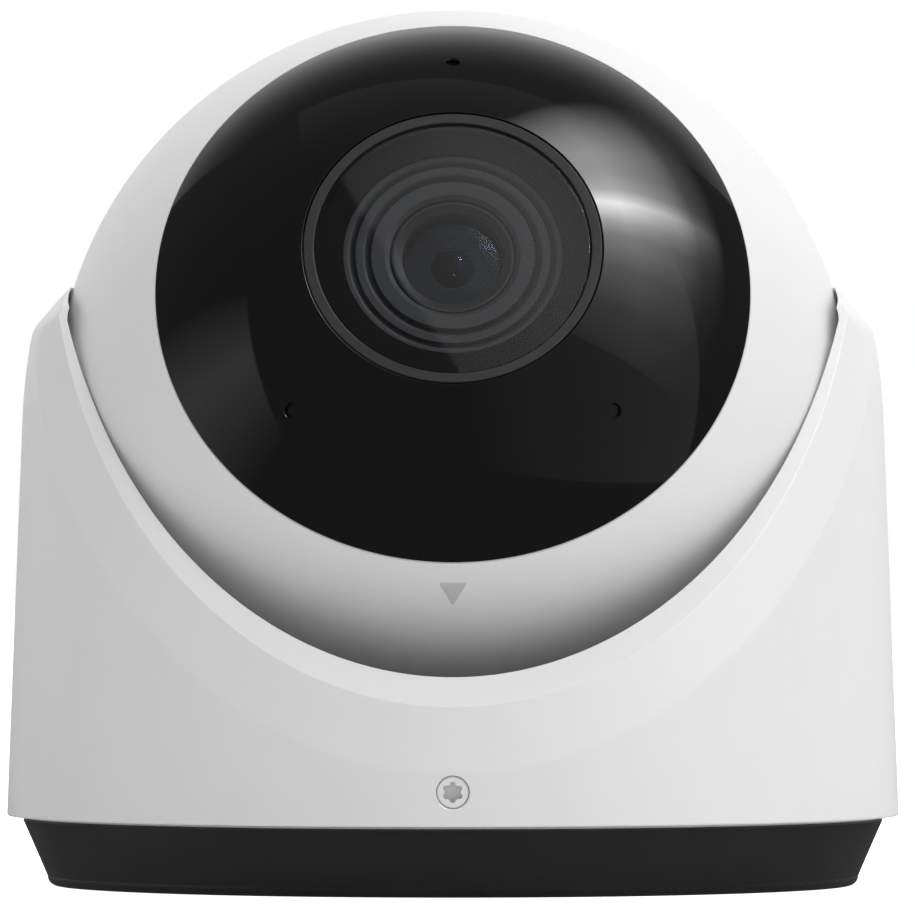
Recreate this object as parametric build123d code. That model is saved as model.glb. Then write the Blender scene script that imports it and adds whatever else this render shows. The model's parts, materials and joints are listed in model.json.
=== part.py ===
from build123d import *
import os
from math import cos, radians, sin, sqrt, tan

# Turret security camera. A ball-shaped camera head sits in a round housing, which pans on a
# mounting base. Millimetres, +Z away from the mounting surface, the lens looks towards -Y, and
# the origin is the centre of the base's underside.

# ---- driving dimensions ----
BALL_RADIUS = 49.1
BALL_HEIGHT = 58.7
LENS_ELEVATION = 25.0
RUN_GAP = 0.3
LINING = 0.8
WALL = 2.5

# mounting base
BASE_FLOOR = 3.0
BASE_RIM_TOP = 8.3
BASE_BOTTOM_RADIUS = 50.0
BASE_TOP_RADIUS = 53.1
BASE_CORNER = 1.2
COLLAR_RADIUS = 50.8
COLLAR_INNER = 48.8
COLLAR_TOP = 15.4
BOLT_CIRCLE_RADIUS = 36.0
BOLT_HOLE_RADIUS = 2.25
BOLT_BOSS_RADIUS = 5.5
BOLT_BOSS_TOP = 4.5
CABLE_BORE = 3.5
CABLE_PORT = 13.0
CABLE_PORT_WALL = 3.0
CABLE_PORT_TOP = 7.0

# housing
HOUSING_BOTTOM = 8.6
HOUSING_RADIUS = 55.0
SKIRT_INNER = 51.3
BORE_RADIUS = 50.0
BORE_BOTTOM = 20.0
NECK_RADIUS = BALL_RADIUS + RUN_GAP
NECK_TOP = 70.0
RIM = (47.1, 73.75)
LIP = (47.15, 73.45)
FRONT_CUT_ANGLE = 50.66
FRONT_CUT_HEIGHT = 26.5
SHOULDER_CUT = (12.0, 71.4)
SHOULDER_CUT_ANGLE = 14.0
BEVEL_FOOT = (54.7, 15.2)
BEVEL_FOOT_ANGLE = 48.74
BEVEL_CREST = (52.95, 22.9)
BEVEL_CREST_TAPER = 0.056
WALL_TAPER = 0.0389
SEAT_SCREW_CIRCLE = 47.0
SEAT_THREAD = 1.1
SEAT_HEAD_DEPTH = 2.2
SEAT_BOSS_RADIUS = 3.2
SEAT_BOSS_TOP = 30.0
SEAT_BOTTOM = 16.0

# lock screw
LOCK_HEIGHT = 12.77
LOCK_RADIUS = 1.92
LOCK_HOLE_RADIUS = 2.0
LOCK_HEAD_FACE = 54.65
LOCK_TIP = 50.35
LOCK_NECK_RADIUS = 1.5
LOCK_NECK = (52.8, 53.6)
LOCK_RECESS_RADIUS = 0.98
LOCK_LOBE_RADIUS = 0.34
LOCK_RECESS_DEPTH = 1.4

# camera head, measured along the lens axis from the ball's centre
SPLIT = -6.0
COVER_EDGE = 33.3
COVER_THICKNESS = 2.2
PORT_POLAR = 34.0
PORT_RADIUS = 0.8
MIC_AZIMUTH = 90.0
LIGHT_SENSOR_AZIMUTH = 225.0
STATUS_AZIMUTH = 315.0
RING_RADIUS = 18.0
RING_INNER = 16.7
RING_TOP = 45.55
LEDGE_RADIUS = 15.4
GLASS_RADIUS = 16.6
GLASS_BACK = 43.9
GLASS_FRONT = 45.1
BORDER_RADIUS = 13.2
BARREL_RADIUS = 7.4
SHELL_SCREW_CIRCLE = 41.0
SHELL_THREAD = 1.25
SHELL_HEAD_DEPTH = 8.0
SWIVEL_BORE = 9.0
MARK_POLAR = 52.2
MARK_WIDTH = 3.5
MARK_LENGTH = 3.2
PCB = 1.6
IR_BOARD = 31.6
CHASSIS = 6.0
CHASSIS_THICKNESS = 1.4
SENSOR_BOARD = 10.4
MAIN_BOARD = -3.6
NETWORK_BOARD = -22.0
BOARD_POST_SPACING = 14.5
BOARD_HOLE = 1.1
LED_CIRCLE = 26.0
LED_ANGLES = (0, 45, 135, 180)
LIGHT_POST_CIRCLE = 28.5
LIGHT_POST_ANGLES = (60, 195, 345)
FIN_COUNT = 11
FIN_PITCH = 2.5
FILTER_PITCH = 7.6
SLIDER_BOTTOM = 16.0
SLIDER_THICKNESS = 1.4

FAR = 200.0
DIAGONALS = (45, 135, 225, 315)

LENS_FRAME = Plane(
    origin=(0, 0, BALL_HEIGHT),
    x_dir=(1, 0, 0),
    z_dir=(0, -cos(radians(LENS_ELEVATION)), sin(radians(LENS_ELEVATION))),
)


# ---- helpers ----
def disc(radius, low, high, x=0.0, y=0.0):
    """A cylinder along Z between two heights."""
    size = Cylinder(radius, high - low, align=(Align.CENTER, Align.CENTER, Align.MIN))
    return Pos(x, y, low) * size


def ring(outer, inner, low, high):
    """A plain tube along Z between two heights."""
    return disc(outer, low, high) - disc(inner, low - 1, high + 1)


def block(width, depth, low, high, x=0.0, y=0.0):
    """A box centred on (x, y) between two heights."""
    size = Box(width, depth, high - low, align=(Align.CENTER, Align.CENTER, Align.MIN))
    return Pos(x, y, low) * size


def turned(outline):
    """A solid of revolution about Z from a closed outline of (radius, height) points."""
    return revolve(Plane.XZ * make_face(Polyline(*outline, close=True)), Axis.Z)


def shell(outer, inner, low, high):
    """The part of a hollow ball between two heights."""
    return (Sphere(outer) - Sphere(inner)) & block(FAR, FAR, low, high)


def circle_of(shape, radius, angles):
    """Copies of a shape at a radius from Z, one for each angle."""
    return [Rot(Z=angle) * Pos(radius, 0, 0) * shape for angle in angles]


def on_ball(shape, polar, azimuth):
    """A shape along Z, turned to a direction off the lens axis."""
    return Rot(Z=azimuth) * Rot(Y=polar) * shape


def on_sphere(radius, distance):
    """The height on a ball of a point at a distance from its axis."""
    return sqrt(radius**2 - distance**2)


def screw(head_radius, head_height, shank_radius, length):
    """A pan-head screw along +Z, with its head below Z = 0 and a hexagon socket."""
    body = disc(head_radius, -head_height, 0) + disc(shank_radius, -0.1, length)
    socket = extrude(RegularPolygon(head_radius * 0.5, 6), head_height * 0.6)
    return body - Pos(0, 0, -head_height) * socket


def chip_legs(width, depth, low, high, count):
    """Two rows of legs beside a package."""
    pitch = width / (count + 1)
    leg = block(pitch * 0.45, 1.2, low, high)
    rows = []
    for side in (-1, 1):
        for index in range(count):
            rows.append(Pos((index + 1) * pitch - width / 2, side * depth / 2, 0) * leg)
    return rows


def group(shapes):
    """Separate solids that share one node."""
    return Compound(children=list(shapes))


def save(name, shape):
    """Writes one node."""
    export_step(shape, f"parts/{name}.step")


def save_head(name, shape):
    """Writes one node of the camera head, which is drawn along its own lens axis."""
    save(name, LENS_FRAME.location * shape)


# ---- mounting base ----
def mounting_base():
    foot = BASE_BOTTOM_RADIUS - BASE_CORNER
    slope = (BASE_TOP_RADIUS - BASE_BOTTOM_RADIUS) / (BASE_RIM_TOP - BASE_CORNER)
    corner = CenterArc((foot, BASE_CORNER), BASE_CORNER, -90, 90)
    edge = Line((BASE_BOTTOM_RADIUS, BASE_CORNER), (BASE_TOP_RADIUS - 0.2 * slope, BASE_RIM_TOP - 0.2))
    inside = Polyline(
        edge @ 1,
        (BASE_TOP_RADIUS - 0.3, BASE_RIM_TOP),
        (COLLAR_RADIUS, BASE_RIM_TOP),
        (COLLAR_RADIUS, COLLAR_TOP - 0.4),
        (COLLAR_RADIUS - 0.4, COLLAR_TOP),
        (COLLAR_INNER, COLLAR_TOP),
        (COLLAR_INNER, BASE_FLOOR),
        (0, BASE_FLOOR),
        (0, 0),
        (foot, 0),
    )
    body = revolve(Plane.XZ * make_face(corner + edge + inside), Axis.Z)
    port_wall = CABLE_PORT + CABLE_PORT_WALL
    body += disc(port_wall, 0, CABLE_PORT_TOP)
    rib_length = COLLAR_INNER - port_wall + 2
    rib = block(rib_length, 1.6, BASE_FLOOR - 0.5, BASE_FLOOR + 2.5)
    rib_circle = (COLLAR_INNER + port_wall) / 2
    body += circle_of(rib, rib_circle, [22.5 + 45 * index for index in range(8)])
    boss = disc(BOLT_BOSS_RADIUS, BASE_FLOOR - 0.5, BOLT_BOSS_TOP)
    body += circle_of(boss, BOLT_CIRCLE_RADIUS, DIAGONALS)
    hole = disc(BOLT_HOLE_RADIUS, -1, BOLT_BOSS_TOP + 1)
    body -= circle_of(hole, BOLT_CIRCLE_RADIUS, DIAGONALS)
    body -= disc(CABLE_PORT, -1, CABLE_PORT_TOP + 1)
    lock_groove = ring(COLLAR_RADIUS + 1, COLLAR_RADIUS - 0.8, LOCK_HEIGHT - 1.5, LOCK_HEIGHT + 1.4)
    seal_groove = ring(COLLAR_RADIUS + 1, COLLAR_RADIUS - 0.8, 9.3, 10.7)
    return body - lock_groove - seal_groove


def glide_ring():
    return ring(BASE_TOP_RADIUS - 0.5, COLLAR_RADIUS + 0.8, BASE_RIM_TOP, BASE_RIM_TOP + 0.2)


def collar_seal():
    seal = Torus(COLLAR_RADIUS - 0.25, 0.55)
    return Pos(0, 0, 10.0) * seal


def cable_grommet():
    outline = [
        (CABLE_BORE, 0.6),
        (CABLE_PORT, 0.6),
        (CABLE_PORT, CABLE_PORT_TOP),
        (CABLE_PORT + 2.4, CABLE_PORT_TOP),
        (CABLE_PORT + 2.4, CABLE_PORT_TOP + 0.9),
        (CABLE_PORT + 1.9, CABLE_PORT_TOP + 1.4),
        (CABLE_BORE + 1.6, CABLE_PORT_TOP + 1.4),
        (CABLE_BORE + 1.2, 3.4),
        (CABLE_BORE, 3.0),
    ]
    plug = turned(outline)
    lip = ring(CABLE_BORE + 2.6, CABLE_BORE, 0.6, CABLE_PORT_TOP + 1.0)
    return plug + lip


# ---- housing ----
def housing_outside():
    wall = Line((HOUSING_RADIUS, HOUSING_BOTTOM + 0.3), (53.1, 57.5))
    haunch = TangentArc(wall @ 1, (52.0, 67.4), tangent=wall % 1)
    shoulder = TangentArc(haunch @ 1, (51.17, 69.2), tangent=haunch % 1)
    dome = TangentArc(shoulder @ 1, RIM, tangent=shoulder % 1)
    centre = Polyline(
        dome @ 1,
        (0, RIM[1]),
        (0, HOUSING_BOTTOM),
        (HOUSING_RADIUS - 0.3, HOUSING_BOTTOM),
        wall @ 0,
    )
    outline = wall + haunch + shoulder + dome + centre
    return revolve(Plane.XZ * make_face(outline), Axis.Z)


def housing_inside():
    """The space that holds the base's collar, the seat ring and the ball, close round the ball's middle."""
    outline = [
        (0, 0),
        (SKIRT_INNER, 0),
        (SKIRT_INNER, BORE_BOTTOM),
        (BORE_RADIUS, BORE_BOTTOM),
        (BORE_RADIUS, FRONT_CUT_HEIGHT),
        (NECK_RADIUS, BALL_HEIGHT),
        (NECK_RADIUS, NECK_TOP),
        LIP,
        (LIP[0] - 0.05, 80),
        (0, 80),
    ]
    return turned(outline)


def tilted_plane(radius, height, angle):
    """A plane that rises from the front at an angle, through a point on the front centre line."""
    tilt = radians(angle)
    return Plane(origin=(0, -radius, height), x_dir=(1, 0, 0), z_dir=(0, -sin(tilt), cos(tilt)))


def below(plane):
    """Everything under a plane, as far as the housing goes."""
    slab = Box(FAR * 2, FAR * 2, FAR, align=(Align.CENTER, Align.CENTER, Align.MAX))
    return plane.location * slab


def tapered_section(plane, radius, height, taper):
    """Where a plane cuts a tall cone of a given radius at a height."""
    low = -20.0
    high = 180.0
    cone = Cone(
        radius + taper * (height - low),
        radius - taper * (high - height),
        high - low,
        align=(Align.CENTER, Align.CENTER, Align.MIN),
    )
    return section(Pos(0, 0, low) * cone, section_by=plane)


def housing_cover():
    front_cut = tilted_plane(BORE_RADIUS, FRONT_CUT_HEIGHT, FRONT_CUT_ANGLE)
    bevel_cut = tilted_plane(*BEVEL_FOOT, BEVEL_FOOT_ANGLE)
    crest = tapered_section(front_cut, *BEVEL_CREST, BEVEL_CREST_TAPER)
    foot = tapered_section(bevel_cut, *BEVEL_FOOT, WALL_TAPER)
    bevel = loft([foot.faces()[0], crest.faces()[0]], ruled=True)
    outside = housing_outside()
    body = (outside & below(bevel_cut)) + (outside & bevel)
    body = body & below(front_cut)
    body = body & below(tilted_plane(*SHOULDER_CUT, SHOULDER_CUT_ANGLE))
    body -= housing_inside()
    boss = disc(SEAT_BOSS_RADIUS, BORE_BOTTOM, SEAT_BOSS_TOP)
    body += circle_of(boss, SEAT_SCREW_CIRCLE, DIAGONALS)
    thread = disc(SEAT_THREAD, BORE_BOTTOM - 1, SEAT_BOSS_TOP - 2)
    body -= circle_of(thread, SEAT_SCREW_CIRCLE, DIAGONALS)
    lock_hole = Pos(0, 0, LOCK_HEIGHT) * Rot(X=90) * disc(LOCK_HOLE_RADIUS, 45, 60)
    return body - lock_hole


def seat_ring():
    body = ring(SKIRT_INNER - 0.2, 20.0, SEAT_BOTTOM, BORE_BOTTOM)
    body -= Pos(0, 0, BALL_HEIGHT) * Sphere(BALL_RADIUS + RUN_GAP + LINING)
    hole = disc(SEAT_THREAD + 0.35, SEAT_BOTTOM - 1, BORE_BOTTOM + 1)
    hole += disc(2.5, SEAT_BOTTOM - 1, SEAT_BOTTOM + SEAT_HEAD_DEPTH)
    return body - circle_of(hole, SEAT_SCREW_CIRCLE, DIAGONALS)


def friction_ring():
    lining = Sphere(BALL_RADIUS + RUN_GAP + LINING) - Sphere(BALL_RADIUS + RUN_GAP)
    lining = Pos(0, 0, BALL_HEIGHT) * lining
    return lining & block(FAR, FAR, SEAT_BOTTOM + 0.5, BORE_BOTTOM - 0.5)


def seat_screws():
    one = Pos(0, 0, SEAT_BOTTOM + SEAT_HEAD_DEPTH) * screw(2.3, 1.9, SEAT_THREAD, 8.0)
    return group(circle_of(one, SEAT_SCREW_CIRCLE, DIAGONALS))


# ---- lock screw ----
def lock_screw():
    outline = [
        (0, LOCK_TIP),
        (0.9, LOCK_TIP),
        (1.3, LOCK_TIP + 0.6),
        (1.6, LOCK_TIP + 0.8),
        (LOCK_RADIUS, LOCK_TIP + 1.1),
        (LOCK_RADIUS, LOCK_NECK[0]),
        (LOCK_NECK_RADIUS, LOCK_NECK[0]),
        (LOCK_NECK_RADIUS, LOCK_NECK[1]),
        (LOCK_RADIUS, LOCK_NECK[1]),
        (LOCK_RADIUS, LOCK_HEAD_FACE - 0.2),
        (LOCK_RADIUS - 0.2, LOCK_HEAD_FACE),
        (0, LOCK_HEAD_FACE),
    ]
    floor = LOCK_HEAD_FACE - LOCK_RECESS_DEPTH
    recess = disc(LOCK_RECESS_RADIUS, floor, LOCK_HEAD_FACE + 1)
    lobe = disc(LOCK_LOBE_RADIUS, floor, LOCK_HEAD_FACE + 1)
    recess += circle_of(lobe, LOCK_RECESS_RADIUS - 0.04, range(30, 390, 60))
    return Pos(0, 0, LOCK_HEIGHT) * Rot(X=90) * (turned(outline) - recess)


def lock_seal():
    band = ring(LOCK_RADIUS, LOCK_NECK_RADIUS + 0.06, LOCK_NECK[0] + 0.1, LOCK_NECK[1] - 0.1)
    return Pos(0, 0, LOCK_HEIGHT) * Rot(X=90) * band


# ---- camera head: shells, cover and window ----
def mark_blank():
    """The triangle of the direction mark, as a prism through the shell's skin."""
    half = MARK_LENGTH / 2
    triangle = Polygon(
        (-half, -MARK_WIDTH / 2),
        (half, 0),
        (-half, MARK_WIDTH / 2),
        align=None,
    )
    return on_ball(Pos(0, 0, 47) * extrude(triangle, 4), MARK_POLAR, 270)


def shell_boss(low, high):
    """A screw boss and the web that joins it to the shell's wall."""
    reach = BALL_RADIUS - SHELL_SCREW_CIRCLE
    return disc(4.0, low, high) + block(reach, 7.0, low, high, x=reach / 2)


def front_shell():
    inner = BALL_RADIUS - WALL
    body = shell(BALL_RADIUS, inner, SPLIT, COVER_EDGE - 0.15)
    bosses = circle_of(shell_boss(SPLIT, CHASSIS), SHELL_SCREW_CIRCLE, DIAGONALS)
    body += [boss & Sphere(BALL_RADIUS - 1) for boss in bosses]
    thread = disc(SHELL_THREAD + 0.05, SPLIT - 1, CHASSIS + 1)
    body -= circle_of(thread, SHELL_SCREW_CIRCLE, DIAGONALS)
    body -= ring(35.1, 33.9, COVER_EDGE - 0.9, COVER_EDGE)
    return body - mark_blank()


def direction_mark():
    return mark_blank() & (Sphere(BALL_RADIUS + 0.02) - Sphere(BALL_RADIUS - 0.4))


def rear_shell():
    inner = BALL_RADIUS - WALL
    body = shell(BALL_RADIUS, inner, -FAR, SPLIT)
    web_low = -on_sphere(inner, SHELL_SCREW_CIRCLE) - 3
    bosses = circle_of(shell_boss(web_low, SPLIT), SHELL_SCREW_CIRCLE, DIAGONALS)
    body += [boss & Sphere(BALL_RADIUS - 0.5) for boss in bosses]
    hole = disc(1.5, -FAR, SPLIT + 1) + disc(2.7, -FAR, SPLIT - SHELL_HEAD_DEPTH)
    body -= circle_of(hole, SHELL_SCREW_CIRCLE, DIAGONALS)
    body -= ring(inner + 1.6, inner + 0.6, SPLIT - 0.8, SPLIT + 1)
    body += disc(14.0, -47.0, -43.5) & Sphere(BALL_RADIUS - 0.5)
    body -= disc(11.8, -FAR, -46.0)
    return body - disc(SWIVEL_BORE, -FAR, -40)


def shell_seal():
    inner = BALL_RADIUS - WALL
    return ring(inner + 1.5, inner + 0.7, SPLIT - 0.75, SPLIT - 0.02)


def shell_screws():
    one = Pos(0, 0, SPLIT - SHELL_HEAD_DEPTH) * screw(2.4, 2.0, SHELL_THREAD, 15.0)
    return group(circle_of(one, SHELL_SCREW_CIRCLE, DIAGONALS))


def swivel_bush():
    """The bush that keeps the cable from turning with the head, with a flange on each side."""
    body = disc(SWIVEL_BORE - RUN_GAP, -47.4, -41.4)
    body += disc(11.5, -47.4, -46.3)
    body += disc(11.5, -43.2, -41.4)
    return body - disc(3.6, -FAR, -40)


def port_hole():
    """One small round port, with its countersink."""
    hole = disc(PORT_RADIUS, 40, 60)
    rim = Pos(0, 0, BALL_RADIUS - 0.15) * Cone(PORT_RADIUS, PORT_RADIUS + 0.6, 0.6)
    return hole + rim


def front_cover():
    inner = BALL_RADIUS - COVER_THICKNESS
    body = shell(BALL_RADIUS, inner, COVER_EDGE, FAR)
    body += ring(32.6, 31.6, 29.5, 35.0)
    body -= disc(RING_RADIUS + 0.15, 30, 60)
    for azimuth in (MIC_AZIMUTH, LIGHT_SENSOR_AZIMUTH, STATUS_AZIMUTH):
        body -= on_ball(port_hole(), PORT_POLAR, azimuth)
    return body


def cover_seal():
    return ring(35.0, 34.0, COVER_EDGE - 0.85, COVER_EDGE - 0.02)


def lens_ring():
    outline = [
        (LEDGE_RADIUS, 41.0),
        (LEDGE_RADIUS, GLASS_BACK - 0.3),
        (RING_INNER, GLASS_BACK - 0.3),
        (RING_INNER, RING_TOP - 0.3),
        (RING_INNER + 0.3, RING_TOP),
        (RING_RADIUS - 0.25, RING_TOP),
        (RING_RADIUS, RING_TOP - 0.25),
        (RING_RADIUS, 41.9),
        (20.0, 41.9),
        (20.0, 41.0),
    ]
    return turned(outline)


def window_glass():
    body = disc(GLASS_RADIUS, GLASS_BACK, GLASS_FRONT)
    return chamfer(body.edges().filter_by(GeomType.CIRCLE), 0.15)


def window_gasket():
    """The black adhesive ring that holds the glass and frames the view."""
    return ring(GLASS_RADIUS, BORDER_RADIUS, GLASS_BACK - 0.3, GLASS_BACK)


def lens_baffle():
    """The black hood behind the window, with a light-trap groove inside each ridge."""
    top = GLASS_BACK - 0.3
    foot = IR_BOARD + PCB
    outline = [
        (15.2, top),
        (BORDER_RADIUS, top),
        (12.6, top - 0.05),
        (12.1, top - 0.35),
        (11.8, top - 0.9),
        (11.75, top - 0.1),
        (10.7, top - 0.1),
        (10.2, top - 0.4),
        (9.9, top - 0.95),
        (9.85, top - 0.15),
        (BARREL_RADIUS + 0.4, top - 0.25),
        (BARREL_RADIUS + 0.2, top - 0.45),
        (BARREL_RADIUS + 0.2, 38.0),
        (BARREL_RADIUS + 1.4, 38.0),
        (BARREL_RADIUS + 1.4, 41.2),
        (13.8, 41.2),
        (13.8, foot),
        (18.4, foot),
        (18.4, foot + 1.2),
        (15.2, foot + 1.2),
    ]
    return turned(outline)


# ---- camera head: lens and image sensor ----
def lens_barrel():
    outline = [
        (5.2, 18.2),
        (6.0, 18.2),
        (6.0, 28.0),
        (BARREL_RADIUS, 28.0),
        (BARREL_RADIUS, 42.7),
        (BARREL_RADIUS - 0.2, 42.9),
        (6.15, 42.4),
        (6.0, 42.2),
        (6.0, 39.0),
        (5.2, 39.0),
    ]
    return turned(outline)


def dome_lens(radius, back, edge, sag):
    """A lens with a flat back and a domed front, whose crown stands sag above its edge."""
    curve = (radius**2 + sag**2) / (2 * sag)
    crown = Pos(0, 0, edge + sag - curve) * Sphere(curve)
    return disc(radius, back, edge + sag) & crown


def lens_holder():
    board = SENSOR_BOARD + PCB
    body = block(22, 18, board, 18.0)
    body += disc(9.0, 17.5, 28.0)
    body -= disc(6.05, SLIDER_BOTTOM, 29)
    body -= block(13, 10, board - 1, SLIDER_BOTTOM)
    channel_top = SLIDER_BOTTOM + SLIDER_THICKNESS + 0.3
    return body - block(40, 11.0, SLIDER_BOTTOM - 0.3, channel_top)


def board_posts(post):
    """The four fixing points of the sensor board."""
    sides = (-BOARD_POST_SPACING, BOARD_POST_SPACING)
    return [Pos(x, y, 0) * post for x in sides for y in sides]


def sensor_board():
    body = block(36, 36, SENSOR_BOARD, SENSOR_BOARD + PCB)
    return body - board_posts(disc(BOARD_HOLE, 0, 20))


def ir_cut_frame():
    top = SLIDER_BOTTOM + SLIDER_THICKNESS
    body = block(16.8, 10.0, SLIDER_BOTTOM, top, x=FILTER_PITCH / 2)
    for x in (0, FILTER_PITCH):
        body -= block(6.0, 6.0, SLIDER_BOTTOM - 1, top + 1, x=x)
        body -= block(7.0, 7.0, SLIDER_BOTTOM + 0.7, top + 1, x=x)
    return body


def filter_pane(x):
    return block(6.9, 6.9, SLIDER_BOTTOM + 0.7, SLIDER_BOTTOM + 1.2, x=x)


def ir_cut_motor():
    board = SENSOR_BOARD + PCB
    coil = Pos(0, 12.4, board + 2.6) * Rot(Y=90) * Cylinder(2.4, 7.0)
    cheeks = [block(1.0, 5.6, board, board + 5.4, x=x, y=12.4) for x in (-4, 4)]
    return coil + cheeks


# ---- camera head: lighting and sensing ----
def ir_led_board():
    body = ring(31.0, 8.4, IR_BOARD, IR_BOARD + PCB)
    return body - circle_of(disc(BOARD_HOLE, 20, 40), LIGHT_POST_CIRCLE, LIGHT_POST_ANGLES)


def ir_leds():
    top = IR_BOARD + PCB
    led = block(3.5, 3.5, top, top + 1.0) + (Pos(0, 0, top + 1.0) * Sphere(1.5))
    led -= block(8, 8, top - 5, top)
    return group(circle_of(led, LED_CIRCLE, LED_ANGLES))


def light_shield():
    return ring(21.6, 20.4, IR_BOARD + PCB, 41.2)


def port_part(azimuth, height):
    """A small package on the lighting board, under one of the ports."""
    top = IR_BOARD + PCB
    reach = (top + height) * tan(radians(PORT_POLAR)) - 0.1
    return Rot(Z=azimuth) * block(2.2, 2.6, top, top + height, x=reach)


def port_pipe(azimuth, radius, bore):
    """A small pipe from a package to its port in the cover."""
    start = (IR_BOARD + PCB + 2.0) / cos(radians(PORT_POLAR)) + 1.0
    body = disc(radius, start, BALL_RADIUS - 0.55)
    if bore:
        body -= disc(bore, start - 1, BALL_RADIUS)
    return on_ball(body, PORT_POLAR, azimuth)


# ---- camera head: chassis and electronics ----
def chassis():
    top = CHASSIS + CHASSIS_THICKNESS
    body = disc(43.0, CHASSIS, top)
    body -= block(30, 9, 0, 20, x=0, y=-23)
    body += board_posts(disc(1.9, top - 0.1, SENSOR_BOARD))
    body += circle_of(disc(2.2, top - 0.1, IR_BOARD), LIGHT_POST_CIRCLE, LIGHT_POST_ANGLES)
    main_post = disc(2.0, MAIN_BOARD + PCB, CHASSIS + 0.1)
    body += [Pos(x, y, 0) * main_post for x in (-25, 25) for y in (-19, 19)]
    return body - circle_of(disc(1.5, 0, 20), SHELL_SCREW_CIRCLE, DIAGONALS)


def chassis_screws():
    one = Pos(0, 0, CHASSIS + CHASSIS_THICKNESS) * Rot(X=180) * screw(2.3, 1.8, 1.2, 4.0)
    return group(circle_of(one, SHELL_SCREW_CIRCLE, DIAGONALS))


def main_board():
    return block(56, 44, MAIN_BOARD, MAIN_BOARD + PCB)


def processor():
    return block(14, 14, MAIN_BOARD - 1.4, MAIN_BOARD)


def heat_sink():
    top = MAIN_BOARD - 1.4
    body = block(28, 28, top - 2.0, top)
    fin = block(1.0, 28, top - 8.0, top - 1.9)
    first = -FIN_PITCH * (FIN_COUNT - 1) / 2
    return body + [Pos(first + FIN_PITCH * index, 0, 0) * fin for index in range(FIN_COUNT)]


def board_connectors():
    top = MAIN_BOARD + PCB
    places = ((-14, 12, 12, 4), (4, 13, 9, 4), (20, -8, 4, 10))
    housings = []
    for x, y, width, depth in places:
        body = block(width, depth, top, top + 4.0, x=x, y=y)
        housings.append(body - block(width - 1.4, depth - 1.4, top + 1.5, top + 5, x=x, y=y))
    return group(housings)


def card_slot():
    top = MAIN_BOARD + PCB
    body = block(14, 15, top, top + 2.0, x=-19, y=-6)
    return body - block(11.4, 16, top + 0.5, top + 1.6, x=-19, y=-5)


def memory_card():
    low = MAIN_BOARD + PCB + 0.55
    return block(11.0, 14.0, low, low + 0.9, x=-19, y=-5.4)


def flex_cable():
    """A flat lead that drops from the sensor board to the main board through the chassis."""
    thickness = 0.3
    upper = SENSOR_BOARD - 0.05
    lower = MAIN_BOARD + PCB + 0.05
    outer = -23.5
    inner = outer + thickness
    strip = Polyline(
        (-17.0, upper),
        (outer, upper),
        (outer, lower),
        (-19.5, lower),
        (-19.5, lower + thickness),
        (inner, lower + thickness),
        (inner, upper - thickness),
        (-17.0, upper - thickness),
        close=True,
    )
    return extrude(Plane.YZ * make_face(strip), 6.0, both=True)


def board_spacers():
    spacer = disc(1.6, NETWORK_BOARD + PCB, MAIN_BOARD)
    return group([Pos(x, y, 0) * spacer for x in (-19, 19) for y in (-17, 17)])


def network_board():
    return block(44, 38, NETWORK_BOARD, NETWORK_BOARD + PCB)


def network_transformer():
    width = 12.5
    depth = 8.5
    package = block(width, depth, NETWORK_BOARD - 6.0, NETWORK_BOARD)
    package += chip_legs(width, depth + 1.2, NETWORK_BOARD - 1.0, NETWORK_BOARD, 8)
    return Pos(-12, 6, 0) * package


def cable_socket():
    body = block(15, 6.5, NETWORK_BOARD - 6.5, NETWORK_BOARD, x=8, y=-8)
    return body - block(13.4, 5.0, NETWORK_BOARD - 7.5, NETWORK_BOARD - 1.5, x=8, y=-8)


# ---- write every node ----
def main():
    os.makedirs("parts", exist_ok=True)
    fixed_nodes = (
        mounting_base,
        glide_ring,
        collar_seal,
        cable_grommet,
        housing_cover,
        seat_ring,
        friction_ring,
        seat_screws,
        lock_screw,
        lock_seal,
    )
    for make in fixed_nodes:
        save(make.__name__, make())
    head_nodes = (
        swivel_bush,
        front_shell,
        rear_shell,
        shell_seal,
        shell_screws,
        front_cover,
        cover_seal,
        lens_ring,
        window_glass,
        window_gasket,
        lens_baffle,
        direction_mark,
        lens_barrel,
        lens_holder,
        sensor_board,
        ir_cut_frame,
        ir_cut_motor,
        ir_led_board,
        ir_leds,
        light_shield,
        chassis,
        chassis_screws,
        main_board,
        processor,
        heat_sink,
        board_connectors,
        card_slot,
        memory_card,
        flex_cable,
        board_spacers,
        network_board,
        network_transformer,
        cable_socket,
    )
    for make in head_nodes:
        save_head(make.__name__, make())
    save_head("front_lens", dome_lens(5.95, 39.9, 41.3, 0.8))
    save_head("iris_stop", ring(5.95, 2.55, 39.4, 39.9))
    save_head("middle_lens", dome_lens(4.6, 34.0, 35.4, 2.6))
    save_head("rear_lens", dome_lens(5.15, 21.0, 22.4, 1.2))
    save_head("image_sensor", block(9, 7, SENSOR_BOARD + PCB, SENSOR_BOARD + PCB + 1.2))
    save_head("ir_filter", filter_pane(0))
    save_head("clear_filter", filter_pane(FILTER_PITCH))
    save_head("microphone", port_part(MIC_AZIMUTH, 1.6))
    save_head("light_sensor", port_part(LIGHT_SENSOR_AZIMUTH, 1.6))
    save_head("status_led", port_part(STATUS_AZIMUTH, 1.6))
    save_head("mic_boot", port_pipe(MIC_AZIMUTH, 0.78, 0.3))
    pipes = [port_pipe(azimuth, 0.78, 0) for azimuth in (LIGHT_SENSOR_AZIMUTH, STATUS_AZIMUTH)]
    save_head("light_pipes", group(pipes))


main()
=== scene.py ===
import json
from math import acos, atan2, cos, pi, radians, sin, sqrt, tan

import bmesh
import bpy
import numpy as np
from mathutils import Matrix, Vector


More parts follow.
